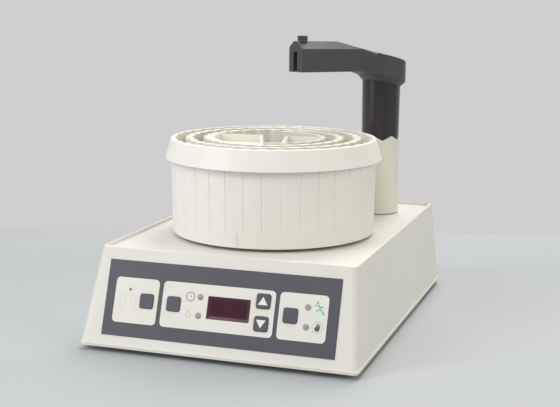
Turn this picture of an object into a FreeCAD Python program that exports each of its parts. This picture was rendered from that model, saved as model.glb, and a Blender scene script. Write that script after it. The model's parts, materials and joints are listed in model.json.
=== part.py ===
import FreeCAD, Part
import math
import os

from FreeCAD import Placement, Rotation, Vector

os.makedirs("parts", exist_ok=True)

# Laboratory fraction collector: a wedge-shaped drive housing, a round rack of
# tube tracks that turns on it, and a swinging arm on a post at the back right.
# Millimetres, +Z up. The origin lies on the table below the middle of the base,
# +X to the operator's right and +Y to the back.

# Housing
base_width = 270.0
base_depth = 373.4
foot_height = 5.0
plate_thickness = 2.5
rim_top = 93.9
side_inset = 9.64
front_inset = 31.2
back_inset = 2.46
corner_radius = 5.5
rim_round = 1.2
wall = 3.2
lip = 0.5
deck_top = 90.5
deck_thickness = 3.0
tray_rim = 2.6
running_gap = 0.3
slip_fit = 0.05
screw_radius = 1.5
screw_head_radius = 2.8
screw_head_height = 2.2

# Feet
foot_side_inset = 27.0
foot_end_inset = 38.7
foot_radius = 9.0
foot_screw_radius = 2.0
foot_screw_length = 20.0
column_radius = 5.5

# Slots in the base plate
vent_width = 6.0
vent_length = 30.0
vent_pitch = 14.0
vent_count = 5
vent_inset = 81.7

# Front panel, measured in the sloping front face: x across, s up the slope
overlay_width = 226.6
overlay_low = 11.6
overlay_high = 82.6
overlay_corner = 0.8
overlay_recess = 0.5
overlay_proud = 0.4
window_low = 24.4
window_high = 66.6
window_corner = 4.0
left_window = (-104.3, -60.3)
middle_window = (-56.0, 53.4)
right_window = (57.5, 102.9)
key_size = 13.35
key_corner = 2.2
key_proud = 1.3
key_gap = 0.3
key_travel = 0.5
key_flange = 1.3
key_row = 46.0
key_centres = {
    "key_advance": (-71.4, key_row),
    "key_mode": (-44.3, key_row),
    "key_up": (42.2, 56.4),
    "key_down": (42.1, 36.0),
    "key_run": (68.6, key_row),
}
display_width = 41.4
display_height = 21.0
display_x = 9.7
display_s = 46.0
display_depth = 2.0
display_ledge = 1.5
display_rim = 0.5
display_slope = 2.4
display_sink = 0.9
lamp_radius = 2.6
lamp_centres = ((-18.6, 54.7), (-18.7, 37.6), (84.3, 54.9), (84.2, 37.4))
board_side_gap = 33.0
board_low = 18.0
board_high = 74.0
board_thickness = 1.6
board_depth = 10.0
board_post_side = 5.0
board_post_inset = 3.5
board_screw_length = 7.0
switch_size = 6.0
switch_height = 3.4

# Turntable and its drive
rack_y = -19.8
turntable_radius = 80.0
turntable_thickness = 2.5
hub_radius = 20.0
hub_top_radius = 17.0
hub_height = 16.0
socket_wall = 6.0
spindle_radius = 6.0
bush_wall = 4.0
bush_flange = 1.0
boss_wall = 4.5
peg_radius = 3.0
peg_circle = 66.0
peg_height = 2.6
peg_count = 3
gear_module = 1.5
pressure_angle = 25.0
backlash = 0.25
drive_teeth = 48
arm_teeth = 40
pinion_teeth = 12
gear_thickness = 7.0
gear_level = 66.0
bridge_level = 52.0
bridge_half_span = 46.0
bridge_width = 24.0
bracket_thickness = 2.5
motor_gap = 5.5
motor_shaft_radius = 2.5
drive_motor_size = 42.3
drive_motor_depth = 36.0
arm_motor_size = 35.2
arm_motor_depth = 26.0
standoff_radius = 4.0
motor_boss_radius = 11.0
drive_post_side = 8.0
drive_post_front = 9.0
drive_post_back = 17.0
arm_post_side = 7.0
arm_post_spread = 14.0
arm_post_far = 9.0
arm_post_trim = 2.0
bracket_margin = 5.0
bracket_corner = 4.0
bracket_screw_length = 10.0

# Rack
rack_bottom = 94.0
rack_floor = 3.0
rack_top = 187.8
band_top = 108.0
band_bottom_radius = 101.9
band_top_radius = 102.7
drum_bottom_radius = 102.3
drum_top_radius = 103.7
skirt_bottom = 167.9
skirt_bottom_radius = 109.2
skirt_top_radius = 103.6
skirt_seat_radius = 102.0
skirt_wall = 1.8
groove_count = 36
groove_phase = 3.1
groove_width = 1.8
groove_depth = 0.7
seam_angle = -90.5
tube_pocket_radius = 6.9
channel_width = 9.0
outer_track = 93.5
track_pitch = 17.9
outer_pockets = 36
middle_pockets = 30
inner_pockets = 24
inner_wall_width = 6.9
inner_wall_end = 100.0
tray_depth = 7.0
tray_wall = 3.2
seam_width = 0.5
seam_depth = 0.4

# Post, arm and the parts on them
post_side_inset = 60.6
post_back_inset = 59.0
post_bottom_radius = 22.0
post_top_radius = 20.3
post_wall = 5.0
post_valley = 172.6
crown_height = 5.2
crown_teeth = 6
crown_phase = -68.9
crown_gap = 0.15
spigot_radius = 12.0
arm_shaft_radius = 5.0
post_web_low = 150.0
post_web_high = 162.0
sleeve_top_radius = 21.1
sleeve_plug = 31.9
arm_heading = -120.0
arm_half_width = 10.9
arm_length = 128.4
arm_ridge = 282.6
tip_depth = 31.4
side_drop = 7.7
ridge_half_width = 2.4
arm_rise = 1.3
ridge_end = 71.4
top_slope = 14.6
flat_end = 46.0
throat = 42.0
under_slope = 12.5
head_depth = 42.6
shaft_cover = 28.6
head_radius = 26.4
neck_depth = 5.5
tip_corner = 2.5
drop_setback = 9.9
slot_width = 5.5
slot_height = 20.5
nozzle_radius = 2.5
nozzle_bore = 1.1
nozzle_rise = 9.0
sensor_radius = 1.5
sensor_level = 5.0
sensor_setback = 7.9
sensor_cover = 1.0
knob_radius = 5.2
knob_height = 5.6
knob_gap = 0.2
knob_flutes = 18
spring_mean_radius = 8.5
spring_wire = 1.4
spring_turns = 6
spring_wire_sides = 8
spring_seat = 0.1
spring_room = 32.0
collar_radius = 11.0
collar_height = 5.0

# Mains inlet and switch in the back wall: x across, s up the wall
inlet_x = 62.0
inlet_s = 38.0
inlet_flange = (48.0, 28.0)
inlet_body = (30.0, 22.0)
inlet_depth = 24.0
inlet_socket = (24.0, 16.0)
inlet_pin = (2.0, 4.0)
pin_setback = 6.5
switch_x = 22.0
rocker_frame = (22.0, 30.0)
rocker_body = (19.0, 27.0)
rocker_size = (14.0, 19.2)
rocker_gap = 0.3
rocker_tilt = 8.0
rocker_pivot = 5.0
transformer_side_inset = 57.0
transformer_back_inset = 94.7
transformer_core = (56.0, 46.0, 48.0)
coil_margin = 7.0
supply_gap = 19.0
spacer_height = 6.0
spacer_radius = 2.5
spacer_inset = 4.0
supply_size = (70.0, 60.0)

half_width = base_width / 2
half_depth = base_depth / 2
foot_x = half_width - foot_side_inset
board_width = base_width - 2 * board_side_gap
board_post_x = board_width / 2 - board_post_side
foot_y = half_depth - foot_end_inset
post_x = half_width - post_side_inset
post_y = half_depth - post_back_inset
drop_at = arm_length - drop_setback
arm_under = arm_ridge - tip_depth
arm_side_top = arm_ridge - side_drop
head_under = arm_ridge - head_depth
shaft_top = arm_ridge - shaft_cover
plate_top = foot_height + plate_thickness
deck_under = deck_top - deck_thickness
front_tilt = math.degrees(math.atan2(front_inset, rim_top - foot_height))
back_tilt = math.degrees(math.atan2(back_inset, rim_top - foot_height))
middle_track = outer_track - track_pitch
inner_track = middle_track - track_pitch
turntable_bottom = deck_top + bush_flange
UP = Vector(0, 0, 1)


# Simple solids

def cylinder(radius, low, high, x=0.0, y=0.0):
    return Part.makeCylinder(radius, high - low, Vector(x, y, low))


def cone(low_radius, high_radius, low, high, x=0.0, y=0.0):
    return Part.makeCone(low_radius, high_radius, high - low, Vector(x, y, low))


def ring(outer, inner, low, high, x=0.0, y=0.0):
    return cylinder(outer, low, high, x, y).cut(cylinder(inner, low, high, x, y))


def block(x0, x1, y0, y1, low, high):
    return Part.makeBox(x1 - x0, y1 - y0, high - low, Vector(x0, y0, low))


def rounded_wire(x0, x1, y0, y1, radius, z):
    """A rectangle with rounded corners, drawn at one height."""
    quarter = radius * (1 - math.sqrt(0.5))
    edges = []
    corners = ((x1, y0, -1, 1), (x1, y1, -1, -1), (x0, y1, 1, -1), (x0, y0, 1, 1))
    points = []
    for i, (cx, cy, sx, sy) in enumerate(corners):
        along_y = Vector(cx, cy + sy * radius, z)
        along_x = Vector(cx + sx * radius, cy, z)
        middle = Vector(cx + sx * quarter, cy + sy * quarter, z)
        points.append((along_x, middle, along_y) if i % 2 == 0 else (along_y, middle, along_x))
    for i, (start, middle, end) in enumerate(points):
        edges.append(Part.Arc(start, middle, end).toShape())
        edges.append(Part.LineSegment(end, points[(i + 1) % 4][0]).toShape())
    return Part.Wire(edges)


def pad(x0, x1, y0, y1, radius, low, high):
    """A flat plate with rounded corners."""
    return Part.Face(rounded_wire(x0, x1, y0, y1, radius, low)).extrude(Vector(0, 0, high - low))


def plate(points, low, high):
    """A straight-sided plate from its outline."""
    wire = Part.makePolygon([Vector(x, y, low) for x, y in points + points[:1]])
    return Part.Face(wire).extrude(Vector(0, 0, high - low))


def turned(profile, x=0.0, y=0.0):
    """A solid of revolution from (radius, height) points about an upright axis."""
    wire = Part.makePolygon([Vector(x + r, y, z) for r, z in profile + profile[:1]])
    return Part.Face(wire).revolve(Vector(x, y, 0), UP, 360)


def around(shape, count, x, y, first=0.0):
    """Copies of a shape spaced evenly round an upright axis."""
    step = 360.0 / count
    return [shape.rotated(Vector(x, y, 0), UP, first + step * i) for i in range(count)]


def on_front(shape):
    """Moves a shape from panel coordinates (x, up the slope, outward) to the front face."""
    place = Placement(Vector(0, -base_depth / 2, foot_height),
                      Rotation(Vector(1, 0, 0), 90 - front_tilt))
    return shape.transformed(place.Matrix)


def on_back(shape):
    """The same for the back wall; x then runs to the operator's left."""
    lean = Rotation(Vector(1, 0, 0), 90 - back_tilt)
    place = Placement(Vector(0, base_depth / 2, foot_height), Rotation(UP, 180) * lean)
    return shape.transformed(place.Matrix)


def on_arm(shape):
    """Moves a shape from arm coordinates (along the arm, across, up) to the post axis."""
    place = Placement(Vector(post_x, post_y, 0), Rotation(UP, arm_heading))
    return shape.transformed(place.Matrix)


def save(name, *shapes):
    """Writes one node; several solids stay separate in it."""
    solids = [solid for shape in shapes for solid in shape.Solids]
    whole = solids[0] if len(solids) == 1 else Part.makeCompound(solids)
    whole.exportStep("parts/" + name + ".step")
    print(name, len(solids), "solid" if len(solids) == 1 else "solids",
          round(whole.Volume / 1000.0, 2), "cm3", "" if whole.isValid() else "INVALID")


# Housing

def wedge(inset, low, high):
    """The housing's drafted body, shrunk by an inset, between two heights."""
    def outline(z):
        t = (z - foot_height) / (rim_top - foot_height)
        half = base_width / 2 - lip - side_inset * t - inset
        front = -base_depth / 2 + lip + front_inset * t + inset / math.cos(math.radians(front_tilt))
        back = base_depth / 2 - lip - back_inset * t - inset
        return rounded_wire(-half, half, front, back, max(corner_radius - inset, 2.0), z)
    return Part.makeLoft([outline(low), outline(high)], True, True)


def front_hole(x, s, width, height, radius, depth=wall + 2.0):
    return on_front(pad(x - width / 2, x + width / 2, s - height / 2, s + height / 2, radius, -depth, 2.0))


foot_places = [(sx * foot_x, sy * foot_y) for sx in (-1, 1) for sy in (-1, 1)]
board_posts = [(sx * board_post_x, s) for sx in (-1, 1)
               for s in (board_low + board_post_inset, board_high - board_post_inset)]
hub_bush_radius = spindle_radius + bush_wall
post_bush_radius = spigot_radius + bush_wall
hub_boss_radius = hub_bush_radius + boss_wall
post_boss_radius = post_bush_radius + boss_wall
boss_low = gear_level + gear_thickness + 3.0
pinion_pitch = gear_module * pinion_teeth / 2
drive_pitch = gear_module * drive_teeth / 2
arm_pitch = gear_module * arm_teeth / 2
drive_motor_y = rack_y + drive_pitch + pinion_pitch
arm_motor_x = post_x - arm_pitch - pinion_pitch
motor_face = gear_level - motor_gap
gear_reach = gear_module + standoff_radius + 1.5
drive_posts = [(sx * (drive_motor_size / 2 + drive_post_side), drive_motor_y + dy)
               for sx in (-1, 1) for dy in (-drive_post_front, drive_post_back)]
arm_posts = [(arm_motor_x - arm_motor_size / 2 - arm_post_side, post_y + sy * arm_post_spread)
             for sy in (-1, 1)]
arm_posts += [(arm_motor_x + arm_post_far, post_y + sy * (arm_pitch + gear_reach - arm_post_trim))
              for sy in (-1, 1)]
bridge_posts = [(sx * bridge_half_span, rack_y) for sx in (-1, 1)]


def standoff(x, y, low):
    """A moulded boss from the deck down to a bracket, with a pilot hole for its screw."""
    boss = cylinder(standoff_radius, low, deck_under + 0.5, x, y)
    return boss.cut(cylinder(screw_radius, low, low + 9.0, x, y))


shell = wedge(0, plate_top, rim_top)
shell = shell.makeFillet(rim_round, [e for e in shell.Edges if e.BoundBox.ZMin > rim_top - 0.01])
shell = shell.cut(wedge(wall, plate_top - 1, deck_under))
shell = shell.cut(wedge(tray_rim, deck_top, rim_top + 1))
for x, y in foot_places:
    column = cylinder(column_radius, plate_top, deck_under + 0.5, x, y)
    pilot = cylinder(foot_screw_radius, plate_top, plate_top + foot_screw_length, x, y)
    shell = shell.fuse(column).cut(pilot)
bosses = [cylinder(hub_boss_radius, boss_low, deck_under + 0.5, 0, rack_y),
          cylinder(post_boss_radius, boss_low, deck_under + 0.5, post_x, post_y)]
bosses += [standoff(x, y, bridge_level + bracket_thickness) for x, y in bridge_posts]
bosses += [standoff(x, y, motor_face + bracket_thickness) for x, y in drive_posts + arm_posts]
for x, s in board_posts:
    stud = Part.makeCylinder(3.5, board_depth - wall + 0.5, Vector(x, s, -board_depth))
    bosses.append(on_front(stud.cut(Part.makeCylinder(screw_radius, 6.0, Vector(x, s, -board_depth)))))
shell = shell.fuse(bosses)
shell = shell.cut([cylinder(hub_bush_radius, boss_low - 1, rim_top, 0, rack_y),
                   cylinder(post_bush_radius, boss_low - 1, rim_top, post_x, post_y)])
half_overlay = overlay_width / 2
shell = shell.cut(on_front(pad(-half_overlay, half_overlay, overlay_low, overlay_high,
                               overlay_corner, -overlay_recess - lip, 3.0)))
key_hole = key_size + 2 * key_gap
openings = [front_hole(x, s, key_hole, key_hole, key_corner + key_gap) for x, s in key_centres.values()]
openings.append(front_hole(display_x, display_s, display_width - 2 * display_ledge,
                           display_height - 2 * display_ledge, 1.0))
openings.append(front_hole(display_x, display_s, display_width, display_height, 1.0,
                           display_depth + lip))
openings += [on_front(Part.makeCylinder(lamp_radius + 0.1, wall + 4, Vector(x, s, -wall - 2)))
             for x, s in lamp_centres]
shell = shell.cut(openings)


def back_plate(x, s, size, radius, low, high):
    half_x, half_s = size[0] / 2, size[1] / 2
    return on_back(pad(-x - half_x, -x + half_x, s - half_s, s + half_s, radius, low, high))


shell = shell.cut([back_plate(inlet_x, inlet_s, inlet_body, 2.0, -wall - 2, 2.0),
                   back_plate(switch_x, inlet_s, rocker_body, 1.0, -wall - 2, 2.0)])
save("housing_shell", shell)

base_plate = pad(-base_width / 2, base_width / 2, -base_depth / 2, base_depth / 2,
                 corner_radius, foot_height, plate_top)
base_plate = base_plate.cut([cylinder(foot_screw_radius + 0.1, 0, plate_top, x, y) for x, y in foot_places])
vent = pad(-vent_width / 2, vent_width / 2, -vent_length / 2, vent_length / 2,
           vent_width / 2 - 0.1, 0, plate_top)
vents = [vent.translated(Vector((i - (vent_count - 1) / 2) * vent_pitch, side * (half_depth - vent_inset), 0))
         for i in range(vent_count) for side in (-1, 1)]
base_plate = base_plate.cut(vents)
save("base_plate", base_plate)

foot = turned([(foot_screw_radius + 0.1, foot_height), (foot_screw_radius + 0.1, 2.6), (4.4, 2.6), (4.4, 0),
               (foot_radius - 1.5, 0), (foot_radius, foot_height)])
save("rubber_feet", *[foot.translated(Vector(x, y, 0)) for x, y in foot_places])
foot_screw = cylinder(foot_screw_radius, 2.6, foot_height + foot_screw_length - 4.0)
foot_screw = foot_screw.fuse(cylinder(4.0, 0.6, 2.6)).cut(cylinder(1.4, 0.6, 1.6))
save("foot_screws", *[foot_screw.translated(Vector(x, y, 0)) for x, y in foot_places])

# Front panel

inset_back = -overlay_recess - lip
overlay = pad(-half_overlay, half_overlay, overlay_low, overlay_high, overlay_corner,
              inset_back, overlay_proud - lip)
windows = []
for x0, x1 in (left_window, middle_window, right_window):
    overlay = overlay.cut(pad(x0, x1, window_low, window_high, window_corner, -5, 5))
    windows.append(pad(x0, x1, window_low, window_high, window_corner, inset_back, overlay_proud - lip))
cuts = [pad(x - key_hole / 2, x + key_hole / 2, s - key_hole / 2, s + key_hole / 2,
            key_corner + key_gap, -5, 5) for x, s in key_centres.values()]
cuts.append(pad(display_x - display_width / 2, display_x + display_width / 2,
                display_s - display_height / 2, display_s + display_height / 2, 1.0, -5, 5))
cuts += [Part.makeCylinder(lamp_radius + 0.1, 10, Vector(x, s, -5)) for x, s in lamp_centres]
save("panel_overlay", on_front(overlay))
save("panel_windows", *[on_front(window.cut(cuts)) for window in windows])

panel_face = overlay_proud - lip
display = pad(display_x - display_width / 2, display_x + display_width / 2,
              display_s - display_height / 2, display_s + display_height / 2, 1.0,
              -display_depth - lip, panel_face)
sunk = []
for inset, level in ((display_rim, panel_face), (display_rim + display_slope, panel_face - display_sink)):
    half_x, half_s = display_width / 2 - inset, display_height / 2 - inset
    sunk.append(rounded_wire(display_x - half_x, display_x + half_x, display_s - half_s, display_s + half_s,
                             0.5, level))
save("display_window", on_front(display.cut(Part.makeLoft(sunk, True, True))))
module_half = display_width / 2 - 2 * display_ledge
module = block(display_x - module_half, display_x + module_half, display_s - 7.5, display_s + 7.5,
               -board_depth, -display_depth - lip)
save("display_module", on_front(module))

wall_inside = -lip - wall
lamp_profile = [(0, -board_depth), (3.1, -board_depth), (3.1, -board_depth + 1),
                (lamp_radius, -board_depth + 1),
                (lamp_radius, panel_face), (1.6, panel_face + 0.7), (0, panel_face + 0.9)]
lamp = turned(lamp_profile)
save("indicator_lamps", *[on_front(lamp.translated(Vector(x, s, 0))) for x, s in lamp_centres])

board = pad(-board_width / 2, board_width / 2, board_low, board_high, 2.0,
            -board_depth - board_thickness, -board_depth)
board = board.cut([Part.makeCylinder(screw_radius + 0.1, 9, Vector(x, s, -board_depth - 5))
                   for x, s in board_posts])
save("control_board", on_front(board))

tact = pad(-switch_size / 2, switch_size / 2, -switch_size / 2, switch_size / 2, 0.5, -board_depth,
           -board_depth + switch_height)
save("key_switches", *[on_front(tact.translated(Vector(x, s, 0))) for x, s in key_centres.values()])

flange_top = wall_inside - 0.15
stem_end = -board_depth + switch_height + key_travel + 0.1
for name, (x, s) in key_centres.items():
    half = key_size / 2
    cap = pad(x - half, x + half, s - half, s + half, key_corner, flange_top - 1.0, panel_face + key_proud)
    top_edges = [e for e in cap.Edges if min(v.Z for v in e.Vertexes) > panel_face + key_proud - 0.01]
    cap = cap.makeFillet(0.5, top_edges)
    half += key_flange
    flange = pad(x - half, x + half, s - half, s + half, key_corner, flange_top - 1.0, flange_top)
    stem = Part.makeCylinder(2.0, flange_top - 0.5 - stem_end, Vector(x, s, stem_end))
    save(name, on_front(cap.fuse([flange, stem])))

# Turntable, its bearings and drive


def gear(teeth, low, high, bore):
    """A spur gear whose flanks follow the involute of its base circle."""
    pitch = gear_module * teeth / 2
    base = pitch * math.cos(math.radians(pressure_angle))
    tip, root = pitch + gear_module, pitch - 1.25 * gear_module

    def roll(radius):
        angle = math.acos(min(base / radius, 1.0))
        return math.tan(angle) - angle

    half_at_pitch = math.pi / (2 * teeth) - backlash / (4 * pitch)
    start = max(base, root)
    flank = [start + (tip - start) * i / 3.0 for i in range(4)]
    points = []
    for i in range(teeth):
        middle = 2 * math.pi * i / teeth
        edge = [(r, half_at_pitch + roll(pitch) - roll(r)) for r in flank]
        edge = [(root, edge[0][1])] + edge if root < start else edge
        points += [(r, middle - half) for r, half in edge]
        points += [(r, middle + half) for r, half in reversed(edge)]
    wheel = plate([(r * math.cos(a), r * math.sin(a)) for r, a in points], low, high)
    return wheel.cut(cylinder(bore, low - 1, high + 1))


def flanged_bush(radius, outer, low, flange_radius):
    """A bush pressed in from above, its flange lying on the deck."""
    body = cylinder(outer, low, deck_top).fuse(cylinder(flange_radius, deck_top, deck_top + bush_flange))
    return body.cut(cylinder(radius + slip_fit, low - 1, deck_top + 5))


hub_bush = flanged_bush(spindle_radius, hub_bush_radius, boss_low, hub_bush_radius + 4.0)
save("hub_bush", hub_bush.translated(Vector(0, rack_y, 0)))

bridge_end = bridge_half_span + 7.0
bridge = pad(-bridge_end, bridge_end, rack_y - bridge_width / 2, rack_y + bridge_width / 2, 5.0,
             bridge_level, bridge_level + bracket_thickness)
bridge = bridge.cut([cylinder(screw_radius + 0.1, 0, 90, x, y) for x, y in bridge_posts]
                    + [cylinder(hub_bush_radius, 0, 90, 0, rack_y)])
save("bearing_bridge", bridge)
lower_bush = ring(hub_bush_radius, spindle_radius + slip_fit, bridge_level - 3, bridge_level + 5, 0, rack_y)
save("lower_bush", lower_bush.fuse(ring(hub_bush_radius + 2, spindle_radius + slip_fit,
                                        bridge_level + bracket_thickness, bridge_level + 5, 0, rack_y)))

disc_top = turntable_bottom + turntable_thickness
disc = cylinder(turntable_radius, turntable_bottom, disc_top).cut(cylinder(spindle_radius, 0, 200))
hub = cone(hub_radius, hub_top_radius, disc_top, disc_top + hub_height).cut(cylinder(spindle_radius, 0, 200))
lightening = cylinder(11.0, 0, 200, (hub_radius + turntable_radius) / 2 - 4.0, 0)
peg_holes = around(cylinder(peg_radius, 0, 200, peg_circle, 0), peg_count, 0, 0)
disc = disc.cut(around(lightening, 6, 0, 0, 30.0) + peg_holes).fuse(hub)
save("turntable", disc.translated(Vector(0, rack_y, 0)))
spindle = cylinder(spindle_radius, bridge_level - 6, disc_top + hub_height - 2, 0, rack_y)
spindle = spindle.cut(ring(spindle_radius + 1, spindle_radius - 0.8,
                           bridge_level - 4.4, bridge_level - 3.3, 0, rack_y))
save("hub_spindle", spindle)
clip_gap = block(spindle_radius - 3, spindle_radius + 6, rack_y - 3, rack_y + 3, 0, 90)
save("spindle_clip", ring(spindle_radius + 2.5, spindle_radius - 0.8, bridge_level - 4.3, bridge_level - 3.4,
                          0, rack_y).cut(clip_gap))
peg = cylinder(peg_radius, turntable_bottom, disc_top + peg_height - 1, peg_circle, 0)
peg = peg.fuse(cone(peg_radius, peg_radius - 0.8, disc_top + peg_height - 1, disc_top + peg_height,
                    peg_circle, 0))
save("drive_pegs", *[p.translated(Vector(0, rack_y, 0)) for p in around(peg, peg_count, 0, 0)])

drive_gear = gear(drive_teeth, gear_level, gear_level + gear_thickness, spindle_radius)
drive_gear = drive_gear.cut(around(cylinder(6.5, 0, 90, 20.0, 0), 6, 0, 0))
drive_gear = drive_gear.fuse(ring(11.0, spindle_radius, gear_level - 4, gear_level + 0.5))
drive_gear.rotate(Vector(0, 0, 0), UP, 90)
save("drive_gear", drive_gear.translated(Vector(0, rack_y, 0)))


def motor(x, y, size, depth, heading, low_name, bracket, posts):
    """A square motor under its bracket, with its shaft, pinion and the bracket's screws."""
    half = size / 2
    body = pad(x - half, x + half, y - half, y + half, 4.0, motor_face - depth, motor_face)
    body = body.fuse(cylinder(motor_boss_radius, motor_face, motor_face + bracket_thickness, x, y))
    body = body.cut(cylinder(motor_shaft_radius + slip_fit, motor_face - depth + 4, 90, x, y))
    save(low_name, body)
    bracket = bracket.cut([cylinder(motor_boss_radius + slip_fit, 0, 90, x, y)]
                          + [cylinder(screw_radius + 0.1, 0, 90, px, py) for px, py in posts])
    save(low_name + "_bracket", bracket)
    shaft = cylinder(motor_shaft_radius, motor_face - depth + 5, gear_level + gear_thickness + 1, x, y)
    save(low_name + "_shaft", shaft)
    pinion = gear(pinion_teeth, gear_level - 0.5, gear_level + gear_thickness + 0.5, motor_shaft_radius)
    pinion.rotate(Vector(0, 0, 0), UP, heading + 180.0 / pinion_teeth)
    save(low_name.replace("motor", "pinion"), pinion.translated(Vector(x, y, 0)))


drive_bracket = pad(drive_posts[0][0] - bracket_margin, -drive_posts[0][0] + bracket_margin,
                    drive_posts[0][1] - bracket_margin, drive_posts[1][1] + bracket_margin, bracket_corner,
                    motor_face, motor_face + bracket_thickness)
motor(0, drive_motor_y, drive_motor_size, drive_motor_depth, -90.0, "drive_motor", drive_bracket, drive_posts)
arm_bracket = pad(arm_posts[0][0] - bracket_margin, arm_posts[2][0] + bracket_margin,
                  arm_posts[2][1] - bracket_margin, arm_posts[3][1] + bracket_margin, bracket_corner,
                  motor_face, motor_face + bracket_thickness)
motor(arm_motor_x, post_y, arm_motor_size, arm_motor_depth, 0.0, "arm_motor", arm_bracket, arm_posts)


def screw(x, y, seat, length=bracket_screw_length):
    """A screw driven upwards, its head under the seat."""
    body = cylinder(screw_radius, seat, seat + length - 0.2, x, y)
    body = body.fuse(cylinder(screw_head_radius, seat - screw_head_height, seat, x, y))
    return body.cut(cylinder(1.0, seat - screw_head_height, seat - 1.0, x, y))


bracket_screws = [screw(x, y, motor_face) for x, y in drive_posts + arm_posts]
bracket_screws += [screw(x, y, bridge_level) for x, y in bridge_posts]
save("bracket_screws", *bracket_screws)
board_screw = screw(0, 0, -board_depth - board_thickness, board_screw_length)
save("board_screws", *[on_front(board_screw.translated(Vector(x, s, 0))) for x, s in board_posts])

# Rack: a dish, the grooved outer wall with its skirt, and the guide walls


def pockets(radius, count, low, high):
    """Round tube pockets along one track."""
    pocket = cylinder(tube_pocket_radius, low, high, radius, 0)
    first = groove_phase + 180.0 / groove_count
    return [p.translated(Vector(0, rack_y, 0)) for p in around(pocket, count, 0, 0, first)]


half_channel = channel_width / 2
floor_top = rack_bottom + rack_floor
socket_gap = running_gap
socket_radius = hub_radius + socket_wall
island_relief = cylinder(socket_radius + running_gap, floor_top - 1,
                         floor_top + hub_height + running_gap, 0, rack_y)
dish = turned([(0, rack_bottom), (band_bottom_radius, rack_bottom), (band_top_radius, band_top),
               (outer_track + half_channel, band_top), (outer_track + half_channel, floor_top),
               (socket_radius, floor_top), (socket_radius - 2, floor_top + hub_height),
               (0, floor_top + hub_height)], 0, rack_y)
dish = dish.cut(pockets(outer_track, outer_pockets, floor_top, band_top + 1))
dish = dish.cut(cone(hub_radius + socket_gap, hub_top_radius + socket_gap, rack_bottom,
                     rack_bottom + hub_height, 0, rack_y))
peg_socket = cylinder(peg_radius + running_gap, rack_bottom - 1, floor_top + 1, peg_circle, rack_y)
dish = dish.cut(around(peg_socket, peg_count, 0, rack_y))
seam_inside = band_bottom_radius - seam_depth
seam = Part.makeBox(2.0, seam_width, band_top - rack_bottom + 2,
                    Vector(seam_inside, rack_y - seam_width / 2, rack_bottom - 1))
seam.rotate(Vector(0, rack_y, 0), UP, seam_angle)
dish = dish.cut(seam)
save("rack_dish", dish)


def groove():
    """One upright V-groove that follows the drum's taper."""
    def notch(radius, z):
        points = [(radius - groove_depth, 0), (radius + 0.6, -groove_width), (radius + 0.6, groove_width)]
        return Part.makePolygon([Vector(x, rack_y + y, z) for x, y in points + points[:1]])
    ends = [notch(drum_bottom_radius, band_top), notch(drum_top_radius, skirt_bottom)]
    return Part.makeLoft(ends, True, True)


drum = turned([(outer_track + half_channel, band_top), (drum_bottom_radius, band_top),
               (drum_top_radius, skirt_bottom), (skirt_seat_radius, skirt_bottom),
               (skirt_seat_radius, rack_top), (outer_track + half_channel, rack_top)], 0, rack_y)
drum = drum.cut(pockets(outer_track, outer_pockets, band_top - 1, rack_top + 1))
drum = drum.cut(around(groove(), groove_count, 0, rack_y, groove_phase))
save("rack_drum", drum)

recess = skirt_wall / math.cos(math.atan2(skirt_bottom_radius - skirt_top_radius, rack_top - skirt_bottom))
skirt = turned([(skirt_seat_radius, skirt_bottom), (skirt_seat_radius, rack_top),
                (skirt_top_radius - 0.6, rack_top), (skirt_top_radius, rack_top - 0.6),
                (skirt_bottom_radius, skirt_bottom),
                (skirt_bottom_radius - recess, skirt_bottom), (skirt_seat_radius + 1.9, rack_top - 6.0),
                (skirt_seat_radius + 1.7, skirt_bottom)], 0, rack_y)
save("rack_skirt", skirt)


def guide_ring(outer_centre, inner_centre):
    return ring(outer_centre - half_channel, inner_centre + half_channel, floor_top, rack_top, 0, rack_y)


outer_guide = guide_ring(outer_track, middle_track)
outer_guide = outer_guide.cut(pockets(outer_track, outer_pockets, floor_top - 1, rack_top + 1)
                              + pockets(middle_track, middle_pockets, floor_top - 1, rack_top + 1))
save("guide_wall_outer", outer_guide)

left_island = [(-90.0, -14.5), (-15.0, -10.0), (12.0, -86.0), (12.0, -130.0), (-90.0, -130.0)]
right_island = [(8.0, -6.5), (70.0, -4.5), (70.0, -130.0), (40.0, -130.0)]


def inset_outline(points, distance):
    """The same straight-sided outline, each side moved inwards."""
    wire = Part.makePolygon([Vector(x, y, 0) for x, y in points + points[:1]])
    inner = wire.makeOffset2D(-distance, 2)
    return inner


def island(points, radius, rim_radius):
    """A raised tray between two tracks: straight walls, a round back and a sunk floor."""
    body = plate(points, floor_top, rack_top).common(cylinder(radius, rack_bottom, rack_top + 1, 0, rack_y))
    inner = Part.Face(inset_outline(points, tray_wall)).extrude(Vector(0, 0, 2 * tray_depth))
    inner = inner.translated(Vector(0, 0, rack_top - tray_depth))
    return body, inner.common(cylinder(rim_radius, rack_bottom, rack_top + 2 * tray_depth, 0, rack_y))


middle_guide = guide_ring(middle_track, inner_track)
middle_guide = middle_guide.cut(pockets(middle_track, middle_pockets, floor_top - 1, rack_top + 1)
                                + pockets(inner_track, inner_pockets, floor_top - 1, rack_top + 1))
left_body, left_tray = island(left_island, inner_track + half_channel + 2.0, inner_track + 2.0)
middle_guide = middle_guide.fuse(left_body).cut([left_tray, island_relief])
save("guide_wall_middle", middle_guide)

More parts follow.
